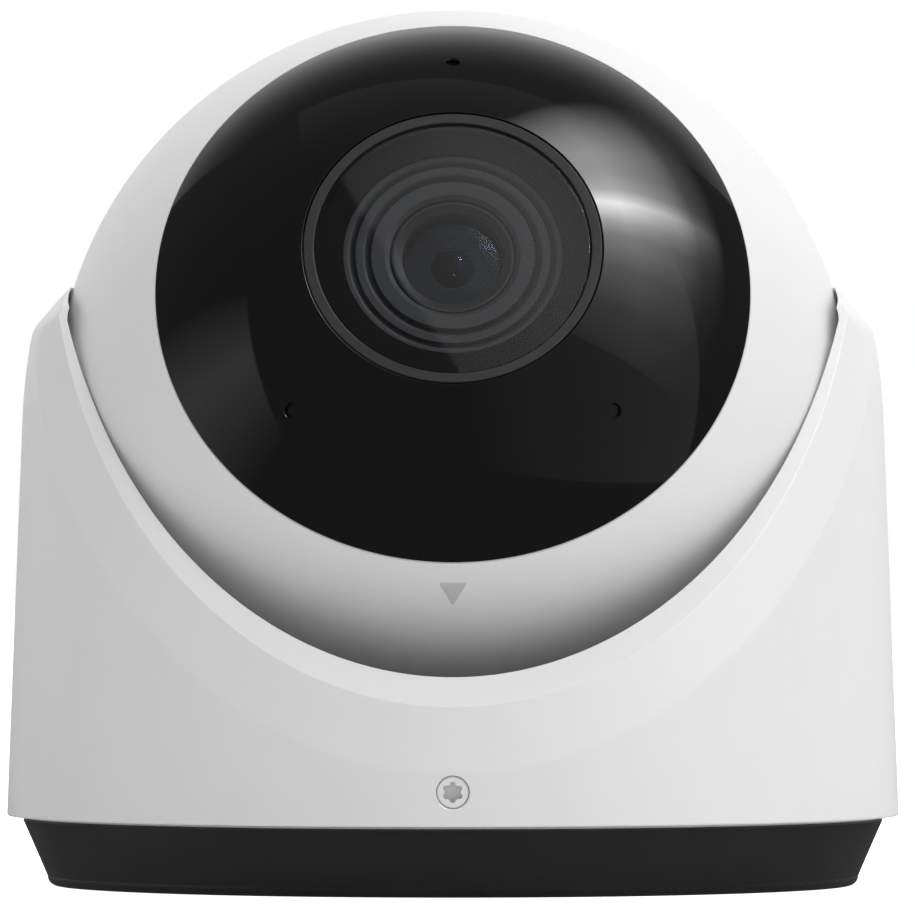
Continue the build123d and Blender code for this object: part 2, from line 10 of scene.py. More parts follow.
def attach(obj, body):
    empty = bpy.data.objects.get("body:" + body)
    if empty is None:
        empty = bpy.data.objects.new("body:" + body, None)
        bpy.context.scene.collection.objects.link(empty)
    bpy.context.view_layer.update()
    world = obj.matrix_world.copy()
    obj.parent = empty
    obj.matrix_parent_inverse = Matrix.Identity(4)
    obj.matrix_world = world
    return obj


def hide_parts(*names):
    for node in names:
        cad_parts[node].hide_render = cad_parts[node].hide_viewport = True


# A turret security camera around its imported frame: smooth outer skins, the lens group, the
# finishes of every piece, and a plain studio. Outlines are in millimetres, objects in metres.
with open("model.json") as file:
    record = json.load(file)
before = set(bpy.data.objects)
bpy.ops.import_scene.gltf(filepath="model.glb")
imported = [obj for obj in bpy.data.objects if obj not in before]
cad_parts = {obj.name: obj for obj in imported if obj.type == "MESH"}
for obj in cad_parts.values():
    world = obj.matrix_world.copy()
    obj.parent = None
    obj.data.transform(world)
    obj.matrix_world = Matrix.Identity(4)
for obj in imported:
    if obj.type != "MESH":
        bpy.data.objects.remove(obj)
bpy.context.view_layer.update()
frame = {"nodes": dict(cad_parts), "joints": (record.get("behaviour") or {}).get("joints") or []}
MM = 0.001

# ---- places and directions from the frame ----
JOINTS = {joint["name"]: joint for joint in frame["joints"]}
BALL = Vector(JOINTS["tilt"]["pos_m"])
LENS_AXIS = Vector(JOINTS["roll"]["axis"]).normalized()
HEAD_UP = LENS_AXIS.cross(Vector((1, 0, 0)))
HEAD = Matrix.Translation(BALL) @ Matrix((Vector((1, 0, 0)), HEAD_UP, LENS_AXIS)).transposed().to_4x4()
LOCK_AXIS = Vector(JOINTS["lock_turn"]["pos_m"])

# ---- camera head, along the lens axis from the ball's centre ----
BALL_RADIUS = 49.1
SHELL_INNER = 46.6
SPLIT = -6.0
COVER_EDGE = 33.3
COVER_INNER = 46.9
RING_RADIUS = 18.0
RING_INNER = 16.7
RING_TOP = 45.55
GLASS_RADIUS = 16.6
GLASS_BACK = 43.9
GLASS_FRONT = 45.1
BORDER_RADIUS = 13.2
BARREL_RADIUS = 7.4
LENS_RADIUS = 5.95
PORT_POLAR = 34.0
PORT_AZIMUTHS = (90.0, 225.0, 315.0)
PORT_RADIUS = 0.8
MARK_POLAR = 52.2
MARK_WIDTH = 3.5
MARK_LENGTH = 3.2
SEAM = 0.12
BUSH_BORE = 9.0
BUSH_SEAT = 46.0
BUSH_POCKET = 11.8
BUSH_LAND = (14.0, 43.5)
SHELL_SCREW_CIRCLE = 41.0
SHELL_SCREW_HEAD = 2.7
SHELL_SCREW_HOLE = 1.5

# ---- housing ----
HOUSING_BOTTOM = 8.6
HOUSING_RADIUS = 55.0
SKIRT_INNER = 51.3
BORE_RADIUS = 50.0
BORE_BOTTOM = 20.0
WALL_TOP = (53.1, 57.5)
HAUNCH_END = (52.0, 67.4)
SHOULDER_END = (51.17, 69.2)
RIM = (47.1, 73.75)
NECK_RADIUS = 49.4
NECK_TOP = 70.0
LIP = (47.15, 73.45)
CUT_SLOPE = tan(radians(50.66))
CUT_HEIGHT = 26.5
SHOULDER_CUT = (12.0, 71.4)
SHOULDER_SLOPE = tan(radians(14.0))
FOOT_SLOPE = tan(radians(48.74))
FOOT = (54.7, 15.2)
CREST = (52.95, 22.9)
CREST_TAPER = 0.056
WALL_TAPER = 0.0389
FOOT_BLEND = 0.07
LOCK_RADIUS = 2.0
LOCK_CHAMFER = 0.4
LOCK_MOUTH = 55.12

# ---- mesh density ----
ROUND_STEPS = 5
EDGE_SUPPORT = 0.03
LATHE_SEGMENTS = 256
HEAD_SEGMENTS = 320
LENS_SEGMENTS = 128
AZIMUTH_STEPS = 480
ARC_STEPS = 16
WALL_ROWS = 56
BORE_ROWS = 18


# ---- outlines ----
def rounded(corners):
    """A closed outline of (radius, height) points from corners (radius, height, fillet)."""
    points = []
    for index, (radius, height, fillet) in enumerate(corners):
        here = Vector((radius, height))
        if fillet == 0:
            points.append(here)
            continue
        before = Vector(corners[index - 1][:2]) - here
        after = Vector(corners[(index + 1) % len(corners)][:2]) - here
        half = max(before.angle(after) / 2, 0.02)
        reach = min(fillet / tan(half), 0.42 * min(before.length, after.length))
        before.normalize()
        after.normalize()
        centre = here + (before + after).normalized() * (reach / cos(half))
        first = here + before * reach - centre
        turn = first.angle_signed(here + after * reach - centre)
        points.append(here + before * (reach + min(EDGE_SUPPORT, reach * 0.3)))
        for step in range(ROUND_STEPS + 1):
            points.append(centre + first @ Matrix.Rotation(turn * step / ROUND_STEPS, 2))
        points.append(here + after * (reach + min(EDGE_SUPPORT, reach * 0.3)))
    return points


def ball_arc(radius, start, end, step=1.2):
    """Corners along a ball's outline between two heights on its axis."""
    first = acos(start / radius)
    last = acos(end / radius)
    count = max(2, int(abs(last - first) / radians(step)))
    angles = [first + (last - first) * index / count for index in range(count + 1)]
    return [(radius * sin(angle), radius * cos(angle), 0) for angle in angles]


def tangent_arc(start, heading, end, steps):
    """Points of the arc that leaves start along a heading and reaches end, and its last heading."""
    chord = Vector(end) - start
    side = Vector((-heading.y, heading.x))
    centre = start + side * (chord.length_squared / (2 * chord.dot(side)))
    turn = 2 * atan2(chord.dot(side), chord.dot(heading))
    spoke = start - centre

    def turned(vector, angle):
        return Vector((
            vector.x * cos(angle) - vector.y * sin(angle),
            vector.x * sin(angle) + vector.y * cos(angle),
        ))

    points = [centre + turned(spoke, turn * (index + 1) / steps) for index in range(steps)]
    return points, turned(heading, turn)


# ---- meshes ----
def new_object(name, vertices, faces, matrix=Matrix.Identity(4)):
    """A mesh object from millimetre vertices, placed by a matrix in metres."""
    mesh = bpy.data.meshes.new(name)
    mesh.from_pydata([matrix @ (Vector(vertex) * MM) for vertex in vertices], [], faces)
    tidy = bmesh.new()
    tidy.from_mesh(mesh)
    bmesh.ops.recalc_face_normals(tidy, faces=tidy.faces)
    tidy.to_mesh(mesh)
    tidy.free()
    obj = bpy.data.objects.new(name, mesh)
    bpy.context.scene.collection.objects.link(obj)
    smooth(obj)
    return obj


def smooth(obj, angle=40.0):
    """Smooth shading that keeps edges sharper than an angle."""
    obj.data.shade_smooth()
    obj.data.set_sharp_from_angle(angle=radians(angle))


def lathe(name, outline, matrix=HEAD, segments=LATHE_SEGMENTS):
    """A closed outline turned about the local Z axis."""
    vertices = []
    rings = []
    for radius, height in outline:
        first = len(vertices)
        if radius < 1e-6:
            vertices.append((0, 0, height))
            rings.append([first] * segments)
            continue
        for index in range(segments):
            angle = 2 * pi * index / segments
            vertices.append((radius * cos(angle), radius * sin(angle), height))
        rings.append(list(range(first, first + segments)))
    faces = []
    for ring, following in zip(rings, rings[1:] + rings[:1]):
        for index in range(segments):
            other = (index + 1) % segments
            corners = (ring[index], ring[other], following[other], following[index])
            face = list(dict.fromkeys(corners))
            if len(face) > 2:
                faces.append(face)
    return new_object(name, vertices, faces, matrix)


def turned_cutter(outline, matrix, segments=64):
    """A round cutter for a boolean."""
    return lathe("cutter", [Vector(point) for point in outline], matrix, segments)


def cut(obj, cutters):
    """Cuts solids out of an object."""
    for cutter in cutters:
        modifier = obj.modifiers.new("cut", "BOOLEAN")
        modifier.operation = "DIFFERENCE"
        modifier.solver = "EXACT"
        modifier.object = cutter
    shown = obj.evaluated_get(bpy.context.evaluated_depsgraph_get())
    mesh = bpy.data.meshes.new_from_object(shown)
    obj.modifiers.clear()
    obj.data = mesh
    for cutter in cutters:
        bpy.data.objects.remove(cutter)
    smooth(obj)


def ball_normals(obj, radii):
    """Gives the faces that lie on balls about the head's centre their exact normals."""
    mesh = obj.data
    normals = [corner.vector.copy() for corner in mesh.corner_normals]
    offsets = [vertex.co - BALL for vertex in mesh.vertices]
    for polygon in mesh.polygons:
        spread = [offsets[index].length / MM for index in polygon.vertices]
        for radius in radii:
            if max(abs(distance - radius) for distance in spread) < 0.004:
                for loop in polygon.loop_indices:
                    outward = offsets[mesh.loops[loop].vertex_index].normalized()
                    normals[loop] = outward if outward.dot(polygon.normal) > 0 else -outward
    mesh.normals_split_custom_set(normals)


def toward(polar, azimuth):
    """The head's frame turned so that Z points in a direction off the lens axis."""
    return HEAD @ Matrix.Rotation(radians(azimuth), 4, "Z") @ Matrix.Rotation(radians(polar), 4, "Y")


# ---- housing ----
def outer_profile():
    """The housing's outside as heights and radii, from the skirt to the rim."""
    start = Vector((HOUSING_RADIUS, HOUSING_BOTTOM))
    wall_top = Vector(WALL_TOP)
    heading = (wall_top - start).normalized()
    points = [start, wall_top]
    for end in (HAUNCH_END, SHOULDER_END, RIM):
        arc, heading = tangent_arc(points[-1], heading, end, ARC_STEPS)
        points += arc
    return [point.y for point in points], [point.x for point in points]


def inner_radius(height):
    """The housing's inside at a height above the seat, close round the ball's middle."""
    heights = (CUT_HEIGHT, BALL.z / MM, NECK_TOP, LIP[1])
    return np.interp(height, heights, (BORE_RADIUS, NECK_RADIUS, NECK_RADIUS, LIP[0]))


def first_crossing(values, heights):
    """The height at which the values first rise through zero, or the last height."""
    index = int(np.argmax(values > 0))
    if index == 0:
        return float(heights[-1])
    share = values[index - 1] / (values[index - 1] - values[index])
    return float(heights[index - 1] + share * (heights[index] - heights[index - 1]))


def soft_min(first, second, blend):
    share = np.clip(0.5 + 0.5 * (second - first) / blend, 0, 1)
    return second * (1 - share) + first * share - blend * share * (1 - share)


def spread_samples(heights, weights, count):
    """Heights spaced by a weight, from the first to the last."""
    travelled = np.concatenate(([0], np.cumsum((weights[1:] + weights[:-1]) / 2 * np.diff(heights))))
    return np.interp(np.linspace(0, travelled[-1], count), travelled, heights)


def housing_section(azimuth, profile):
    """The corners of the housing's wall at an angle from the front."""
    facing = cos(azimuth)
    foot_share = WALL_TAPER * FOOT_SLOPE
    foot_radius = FOOT[0] * (1 - foot_share) / (1 - foot_share * facing)
    foot_height = FOOT[1] + FOOT_SLOPE * (FOOT[0] - foot_radius * facing)
    crest_share = CREST_TAPER * CUT_SLOPE
    crest_level = CREST[0] - CREST_TAPER * (CUT_HEIGHT + CUT_SLOPE * BORE_RADIUS - CREST[1])
    crest_radius = crest_level / (1 - crest_share * facing)
    crest_height = CUT_HEIGHT + CUT_SLOPE * (BORE_RADIUS - crest_radius * facing)
    lean = (crest_radius - foot_radius) / (crest_height - foot_height)

    def outer_radius(height):
        wall = np.interp(height, *profile)
        return soft_min(wall, foot_radius + lean * (height - foot_height), FOOT_BLEND)

    def cut_height(height, radius):
        front = CUT_HEIGHT + CUT_SLOPE * (BORE_RADIUS - radius * facing)
        shoulder = SHOULDER_CUT[1] + SHOULDER_SLOPE * (SHOULDER_CUT[0] - radius * facing)
        return height - np.minimum(front, shoulder)

    heights = np.linspace(HOUSING_BOTTOM, RIM[1], 1400)
    top = first_crossing(cut_height(heights, outer_radius(heights)), heights)
    inner = np.linspace(BORE_BOTTOM, LIP[1], 1000)
    gap = first_crossing(cut_height(inner, inner_radius(inner)), inner)
    heights = np.linspace(HOUSING_BOTTOM + 0.7, top - 0.25, 500)
    weights = 1 + 9 * np.exp(-(((heights - foot_height) / 0.9) ** 2)) + 3 * (heights > WALL_TOP[1])
    outside = spread_samples(heights, weights, WALL_ROWS)
    inside = np.linspace(gap - 0.3, BORE_BOTTOM + 0.4, BORE_ROWS)
    corners = [(SKIRT_INNER, HOUSING_BOTTOM, 0.2), (HOUSING_RADIUS, HOUSING_BOTTOM, 0.28)]
    corners += [(float(outer_radius(height)), float(height), 0) for height in outside]
    corners.append((float(outer_radius(top)), top, 0.35))
    corners.append((float(inner_radius(gap)), gap, 0.22))
    corners += [(float(inner_radius(height)), float(height), 0) for height in inside]
    corners += [(BORE_RADIUS, BORE_BOTTOM, 0.15), (SKIRT_INNER, BORE_BOTTOM, 0.15)]
    return rounded(corners)


def housing():
    profile = outer_profile()
    vertices = []
    for step in range(AZIMUTH_STEPS):
        azimuth = 2 * pi * step / AZIMUTH_STEPS
        section = housing_section(azimuth, profile)
        vertices += [(point.x * sin(azimuth), -point.x * cos(azimuth), point.y) for point in section]
    count = len(section)
    faces = []
    for step in range(AZIMUTH_STEPS):
        here = step * count
        there = (step + 1) % AZIMUTH_STEPS * count
        for index in range(count):
            other = (index + 1) % count
            faces.append((here + index, here + other, there + other, there + index))
    obj = new_object("housing_wall", vertices, faces)
    smooth(obj, 60.0)
    outward = Matrix.Translation((0, 0, LOCK_AXIS.z)) @ Matrix.Rotation(radians(90), 4, "X")
    hole = (
        (0, BORE_RADIUS - 2),
        (LOCK_RADIUS, BORE_RADIUS - 2),
        (LOCK_RADIUS, LOCK_MOUTH - LOCK_CHAMFER),
        (LOCK_RADIUS + LOCK_CHAMFER, LOCK_MOUTH),
        (0, LOCK_MOUTH),
    )
    cut(obj, [turned_cutter(hole, outward, 96)])
    return obj


# ---- camera head ----
def on_sphere(radius, other):
    """The distance along the axis where a ball has a given radius, or the other way round."""
    return sqrt(radius**2 - other**2)


def front_shell():
    edge = COVER_EDGE - SEAM
    inside = ball_arc(SHELL_INNER, edge, SPLIT, 3.0)
    outside = ball_arc(BALL_RADIUS, SPLIT + 0.25, edge - 0.1)
    corners = inside + [(on_sphere(BALL_RADIUS, SPLIT), SPLIT, 0.15)] + outside
    corners.append((on_sphere(BALL_RADIUS, edge), edge, 0.08))
    obj = lathe("front_shell_skin", rounded(corners), segments=HEAD_SEGMENTS)
    ball_normals(obj, (BALL_RADIUS, SHELL_INNER))
    return obj


def rear_shell():
    """The back of the ball, with the bush's bore and pocket and four screw holes."""
    land, land_height = BUSH_LAND
    inside = ball_arc(SHELL_INNER, SPLIT, -on_sphere(SHELL_INNER, land), 3.0)
    outside = ball_arc(BALL_RADIUS, -on_sphere(BALL_RADIUS, BUSH_POCKET + 0.4), SPLIT - 0.25)
    corners = [
        (land, -land_height, 0.3),
        (BUSH_BORE, -land_height, 0.2),
        (BUSH_BORE, -BUSH_SEAT, 0.2),
        (BUSH_POCKET, -BUSH_SEAT, 0.2),
        (BUSH_POCKET, -on_sphere(BALL_RADIUS, BUSH_POCKET), 0.2),
    ]
    corners += outside + [(on_sphere(BALL_RADIUS, SPLIT), SPLIT, 0.15)] + inside
    obj = lathe("rear_shell_skin", rounded(corners), segments=HEAD_SEGMENTS)
    bore = (
        (0, -60),
        (SHELL_SCREW_HEAD, -60),
        (SHELL_SCREW_HEAD, SPLIT - 8),
        (SHELL_SCREW_HOLE, SPLIT - 8),
        (SHELL_SCREW_HOLE, SPLIT + 2),
        (0, SPLIT + 2),
    )
    offset = Matrix.Translation((SHELL_SCREW_CIRCLE * MM, 0, 0))
    turns = [Matrix.Rotation(radians(45 + 90 * index), 4, "Z") for index in range(4)]
    cut(obj, [turned_cutter(bore, HEAD @ turn @ offset) for turn in turns])
    ball_normals(obj, (BALL_RADIUS, SHELL_INNER))
    return obj


def front_cover():
    bore = RING_RADIUS + 0.15
    outside = ball_arc(BALL_RADIUS, COVER_EDGE + 0.15, on_sphere(BALL_RADIUS, bore + 0.2), 0.9)
    inside = ball_arc(COVER_INNER, on_sphere(COVER_INNER, bore), COVER_EDGE, 2.0)
    corners = [(on_sphere(BALL_RADIUS, COVER_EDGE), COVER_EDGE, 0.1)] + outside
    corners += [(bore, on_sphere(BALL_RADIUS, bore), 0.1)] + inside
    obj = lathe("black_face", rounded(corners), segments=HEAD_SEGMENTS)
    rim = BALL_RADIUS - SEAM
    hole = (
        (0, 44),
        (PORT_RADIUS, 44),
        (PORT_RADIUS, rim - SEAM),
        (PORT_RADIUS + 0.04, rim),
        (PORT_RADIUS + 0.3, rim + 0.3),
        (0, rim + 0.3),
    )
    cut(obj, [turned_cutter(hole, toward(PORT_POLAR, azimuth)) for azimuth in PORT_AZIMUTHS])
    ball_normals(obj, (BALL_RADIUS, COVER_INNER))
    return obj


def direction_mark():
    """A thin triangle on the shell with softened corners, which follows the ball."""
    corners = (
        (-MARK_LENGTH / 2, -MARK_WIDTH / 2, 0.18),
        (MARK_LENGTH / 2, 0, 0.18),
        (-MARK_LENGTH / 2, MARK_WIDTH / 2, 0.18),
    )
    outline = rounded(corners)
    centre = sum(outline, Vector((0, 0))) / len(outline)
    vertices = []
    for height, shares in ((0.02, (0, 0.5, 0.97)), (0.01, (1.0,)), (-0.1, (1.0,))):
        radius = BALL_RADIUS + height
        for share in shares:
            for point in outline:
                flat = centre + (point - centre) * share
                vertices.append((flat.x, flat.y, sqrt(radius**2 - flat.x**2 - flat.y**2)))
    count = len(outline)
    faces = [list(range(4 * count, 5 * count))]
    for ring in range(4):
        for index in range(count):
            other = (index + 1) % count
            low = ring * count
            faces.append((low + index, low + other, low + count + other, low + count + index))
    obj = new_object("direction_triangle", vertices, faces, toward(MARK_POLAR, 270.0))
    weld = bmesh.new()
    weld.from_mesh(obj.data)
    bmesh.ops.remove_doubles(weld, verts=weld.verts, dist=1e-7)
    weld.to_mesh(obj.data)
    weld.free()
    smooth(obj)
    return obj


def lens_ring():
    corners = (
        (15.4, 41.0, 0),
        (20.0, 41.0, 0),
        (20.0, 41.9, 0),
        (RING_RADIUS, 41.9, 0),
        (RING_RADIUS, RING_TOP, 0.12),
        (RING_INNER, RING_TOP, 0.1),
        (RING_INNER, GLASS_BACK - 0.3, 0.05),
        (15.4, GLASS_BACK - 0.3, 0.1),
    )
    return lathe("window_ring", rounded(corners), segments=HEAD_SEGMENTS)


def window_glass():
    corners = (
        (0, GLASS_BACK, 0),
        (GLASS_RADIUS, GLASS_BACK, 0.12),
        (GLASS_RADIUS, GLASS_FRONT, 0.12),
        (0, GLASS_FRONT, 0),
    )
    return lathe("window_pane", rounded(corners))


def window_gasket():
    corners = (
        (BORDER_RADIUS, GLASS_BACK - 0.3, 0.04),
        (GLASS_RADIUS, GLASS_BACK - 0.3, 0.04),
        (GLASS_RADIUS, GLASS_BACK - 0.02, 0.04),
        (BORDER_RADIUS, GLASS_BACK - 0.02, 0.04),
    )
    return lathe("window_border", rounded(corners))


def lens_baffle():
    """The hood's ridges: each has a flat, a rounded fall and a sharp wall up to the next."""
    top = GLASS_BACK - 0.3
    foot = 33.2
    bore = BARREL_RADIUS + 0.2
    corners = (
        (15.2, foot, 0),
        (18.4, foot, 0),
        (18.4, foot + 1.2, 0.1),
        (15.2, foot + 1.2, 0.1),
        (15.2, top - 0.02, 0.05),
        (BORDER_RADIUS - 0.1, top - 0.02, 0.05),
        (12.5, top - 0.06, 0.5),
        (11.8, top - 0.95, 0.06),
        (11.75, top - 0.1, 0.05),
        (10.7, top - 0.14, 0.5),
        (9.9, top - 1.05, 0.06),
        (9.85, top - 0.15, 0.05),
        (bore + 0.55, top - 0.22, 0.3),
        (bore, top - 0.55, 0.12),
        (bore, 38.0, 0),
        (bore + 1.2, 38.0, 0),
        (bore + 1.2, 41.2, 0),
        (13.8, 41.2, 0),
        (13.8, foot, 0),
    )
    return lathe("lens_hood", rounded(corners[::-1]))


def lens_barrel():
    corners = (
        (5.2, 18.2, 0),
        (6.0, 18.2, 0),
        (6.0, 28.0, 0),
        (BARREL_RADIUS, 28.0, 0),
        (BARREL_RADIUS, 42.95, 0.12),
        (BARREL_RADIUS - 0.35, 42.95, 0.1),
        (6.1, 42.35, 0.12),
        (6.0, 42.1, 0.05),
        (6.0, 39.0, 0),
        (5.2, 39.0, 0),
    )
    return lathe("lens_barrel_skin", rounded(corners))


def dome(name, radius, back, edge, sag):
    """A lens with a domed front and a softened edge."""
    curve = (radius**2 + sag**2) / (2 * sag)
    crown = edge + sag - curve
    front = [(r, z + crown, 0) for r, z, _ in ball_arc(curve, edge - crown + 0.05 * sag, curve, 2.0)]
    corners = [(0, back, 0), (radius, back, 0.1), (radius, edge, 0.05)] + front
    return lathe(name, rounded(corners), segments=LENS_SEGMENTS)


def iris():
    corners = (
        (2.6, 39.4, 0),
        (LENS_RADIUS - 0.05, 39.4, 0),
        (LENS_RADIUS - 0.05, 39.85, 0),
        (2.75, 39.85, 0.08),
        (2.6, 39.7, 0.03),
    )
    return lathe("iris_plate", rounded(corners), segments=LENS_SEGMENTS)


# ---- finishes ----
def nodes_of(material):
    material.use_nodes = True
    tree = material.node_tree
    return tree, tree.nodes["Principled BSDF"]


def link(tree, source, target):
    tree.links.new(source, target)


def noise(tree, scale, detail=3.0, rough=0.55):
    """Noise in the object's own space, with its scale per metre."""
    coordinates = tree.nodes.new("ShaderNodeTexCoord")
    texture = tree.nodes.new("ShaderNodeTexNoise")
    texture.inputs["Scale"].default_value = scale
    texture.inputs["Detail"].default_value = detail
    texture.inputs["Roughness"].default_value = rough
    link(tree, coordinates.outputs["Object"], texture.inputs["Vector"])
    return texture.outputs["Fac"]


def remap(tree, value, low, high):
    """A 0 to 1 value taken to a range."""
    node = tree.nodes.new("ShaderNodeMapRange")
    node.inputs["From Min"].default_value = 0.3
    node.inputs["From Max"].default_value = 0.7
    node.inputs["To Min"].default_value = low
    node.inputs["To Max"].default_value = high
    link(tree, value, node.inputs["Value"])
    return node.outputs["Result"]


def finish(name, colour, rough, grain=9000.0, relief=0.1, depth=0.00002, shade=0.04, metal=0.0, **constants):
    """A solid finish with grain in its colour, its roughness and its surface."""
    material = bpy.data.materials.new(name)
    tree, shader = nodes_of(material)
    cloud = noise(tree, 120.0)
    speck = noise(tree, grain)
    tone = tree.nodes.new("ShaderNodeMix")
    tone.data_type = "RGBA"
    tone.inputs["A"].default_value = (*[part * (1 - shade) for part in colour], 1)
    tone.inputs["B"].default_value = (*[min(1, part * (1 + shade)) for part in colour], 1)
    link(tree, remap(tree, cloud, 0, 1), tone.inputs["Factor"])
    link(tree, tone.outputs["Result"], shader.inputs["Base Color"])
    link(tree, remap(tree, speck, rough * 0.9, rough * 1.1), shader.inputs["Roughness"])
    bump = tree.nodes.new("ShaderNodeBump")
    bump.inputs["Strength"].default_value = relief
    bump.inputs["Distance"].default_value = depth
    link(tree, speck, bump.inputs["Height"])
    link(tree, bump.outputs["Normal"], shader.inputs["Normal"])
    shader.inputs["Metallic"].default_value = metal
    for socket, value in constants.items():
        shader.inputs[socket.replace("_", " ")].default_value = value
    return material


def clear(name, tint, sheen, ior, rough=0.01, dust=0.0):
    """Thin clear glass: it lets light straight through and reflects by its angle."""
    material = bpy.data.materials.new(name)
    tree, shader = nodes_of(material)
    tree.nodes.remove(shader)
    output = tree.nodes["Material Output"]
    through = tree.nodes.new("ShaderNodeBsdfTransparent")
    through.inputs["Color"].default_value = (*tint, 1)
    gloss = tree.nodes.new("ShaderNodeBsdfGlossy")
    gloss.inputs["Color"].default_value = (*sheen, 1)
    link(tree, remap(tree, noise(tree, 400.0), rough, rough * 2 + dust), gloss.inputs["Roughness"])
    fresnel = tree.nodes.new("ShaderNodeFresnel")
    fresnel.inputs["IOR"].default_value = ior
    side = tree.nodes.new("ShaderNodeNewGeometry")
    front = tree.nodes.new("ShaderNodeMath")
    front.operation = "SUBTRACT"
    front.inputs[0].default_value = 1
    link(tree, side.outputs["Backfacing"], front.inputs[1])
    share = tree.nodes.new("ShaderNodeMath")
    share.operation = "MULTIPLY"
    link(tree, fresnel.outputs["Fac"], share.inputs[0])
    link(tree, front.outputs["Value"], share.inputs[1])
    mixed = tree.nodes.new("ShaderNodeMixShader")
    link(tree, share.outputs["Value"], mixed.inputs["Fac"])
    link(tree, through.outputs["BSDF"], mixed.inputs[1])
    link(tree, gloss.outputs["BSDF"], mixed.inputs[2])
    link(tree, mixed.outputs["Shader"], output.inputs["Surface"])
    return material


def grey(value):
    return (value, value, value)


FINISHES = {
    "white_paint": finish("white_powder_coat", (0.80, 0.805, 0.80), 0.46, 7000.0, 0.12, 0.00003, 0.006),
    "base_black": finish("moulded_black", (0.017, 0.017, 0.018), 0.48, 5200.0, 0.25, 0.00006, 0.1),
    "face_black": finish(
        "polished_face", (0.004, 0.004, 0.0045), 0.045, 900.0, 0.01, 0.000002, 0.05, IOR=1.5
    ),
    "ring_black": finish("satin_anodised", grey(0.018), 0.32, 12000.0, 0.02, Specular_IOR_Level=0.25),
    "window_glass": clear("window_coating", (0.97, 0.98, 1.0), (1.0, 1.0, 1.0), 1.5),
    "lens_glass": clear("lens_coating", (0.86, 0.88, 0.92), (0.06, 0.07, 0.10), 1.7),
    "rubber": finish("black_rubber", grey(0.002), 0.75, 8000.0, 0.01, Specular_IOR_Level=0.05),
    "inner_black": finish("hood_black", grey(0.018), 0.5, 9000.0, 0.01, Specular_IOR_Level=0.2),
    "barrel_black": finish("barrel_anodised", grey(0.012), 0.4, 12000.0, 0.02, Specular_IOR_Level=0.15),
    "steel": finish("plain_steel", grey(0.6), 0.3, 15000.0, 0.1, 0.00001, 0.05, 1.0),
    "mark_grey": finish("printed_grey", grey(0.57), 0.5, 9000.0, 0.08, 0.00001, 0.02),
    "nylon": finish("natural_nylon", (0.70, 0.69, 0.64), 0.5, 4000.0, 0.15, 0.00002, 0.03),
    "board_green": finish("solder_mask", (0.012, 0.11, 0.045), 0.35, 1500.0, 0.2, 0.00004, 0.2),
    "chip_black": finish("moulded_chip", grey(0.02), 0.55, 9000.0, 0.2, 0.00002, 0.1),
    "connector_white": finish("moulded_nylon", (0.72, 0.71, 0.66), 0.5, 6000.0, 0.1, 0.00002, 0.03),
    "smoked_epoxy": finish("smoked_epoxy", grey(0.006), 0.12, 2000.0, 0.03, 0.00001, 0.05),
    "led_clear": finish("clear_epoxy", (0.75, 0.73, 0.66), 0.1, 2000.0, 0.05, 0.00001, 0.05),
    "sensor": finish("silicon", (0.05, 0.10, 0.09), 0.12, 30000.0, 0.05, 0.00001, 0.3, 0.6),
    "filter_red": finish("infrared_filter", (0.20, 0.32, 0.38), 0.06, 1500.0, 0.02, 0.00001, 0.05),
    "copper_film": finish("polyimide_film", (0.42, 0.19, 0.035), 0.3, 3000.0, 0.1, 0.00002, 0.1),
    "heat_aluminium": finish("extruded_aluminium", grey(0.68), 0.38, 14000.0, 0.15, 0.00002, 0.06, 1.0),
    "chassis_steel": finish("zinc_plate", grey(0.56), 0.4, 2500.0, 0.15, 0.00002, 0.12, 1.0),
    "brass": finish("plain_brass", (0.68, 0.50, 0.18), 0.28, 12000.0, 0.1, 0.00001, 0.08, 1.0),
    "card_black": finish("moulded_card", grey(0.025), 0.45, 9000.0, 0.15, 0.00002, 0.1),
}


def place(obj, body, slot, *replaced):
    """Gives a piece its finish and its body, and hides the CAD nodes that it stands for."""
    obj.data.materials.clear()
    obj.data.materials.append(FINISHES[slot])
    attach(obj, body)
    if replaced:
        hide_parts(*replaced)


def dress_cad_nodes():
    """Smooth shading and a full finish for each CAD node."""
    for node in frame["nodes"].values():
        slot = node.data.materials[0].name.split(".")[0]
        node.data.materials[0] = FINISHES[slot]
        smooth(node, 30.0)


# ---- studio ----
CAMERA_OFFSET = 0.56
CAMERA_DISTANCE = 1620.0
CAMERA_HEIGHT = 52.7
CAMERA_LENS = 516.5
SIGHT = Vector((CAMERA_OFFSET, -CAMERA_DISTANCE, CAMERA_HEIGHT)) * MM
STUDIO = 0.7
ROOM = 2.5
EVEN = ((0, 1), (1, 1))
FADE_UP = ((0, 0), (1, 1))
FILLS = (
    ("fill_right", (1.0, -0.35, 0.5), 0.8, 0.93),
    ("fill_front", (0.0, -1.0, 1.0), 0.7, 0.22),
    ("fill_top", (0.1, 0.0, 1.0), 0.8, 1.75),
)
KEY_RADIANCE = 17.8
KEY_AIM = Vector((0.757, 0.043, 0.65)).normalized()
KEY_ALONG = Vector((0.418, 0.733, -0.537)).normalized()
KEY_WIDTH = (-1.0, 0.26)
KEY_HEIGHT = (-1.0, 0.68)
KEY_FADE = ((-1.0, 0), (-0.8, 1), (-0.27, 1), (-0.1, 0.6), (0.0, 0.4), (0.1, 0.13), (0.24, 0))
KEY_BELOW = ((-1.0, 0.01), (-0.62, 0.03), (-0.36, 0.09), (-0.17, 0.23), (-0.1, 0.43), (0.0, 1.0))
KEY_ABOVE = ((0.02, 0.8), (0.07, 0.46), (0.16, 0.33), (0.28, 0.29), (0.5, 0.09), (0.62, 0))
LEFT_FADE = ((-0.62, 0), (-0.45, 0.5), (-0.28, 1), (-0.1, 0.7), (0.1, 0.3), (0.28, 0))
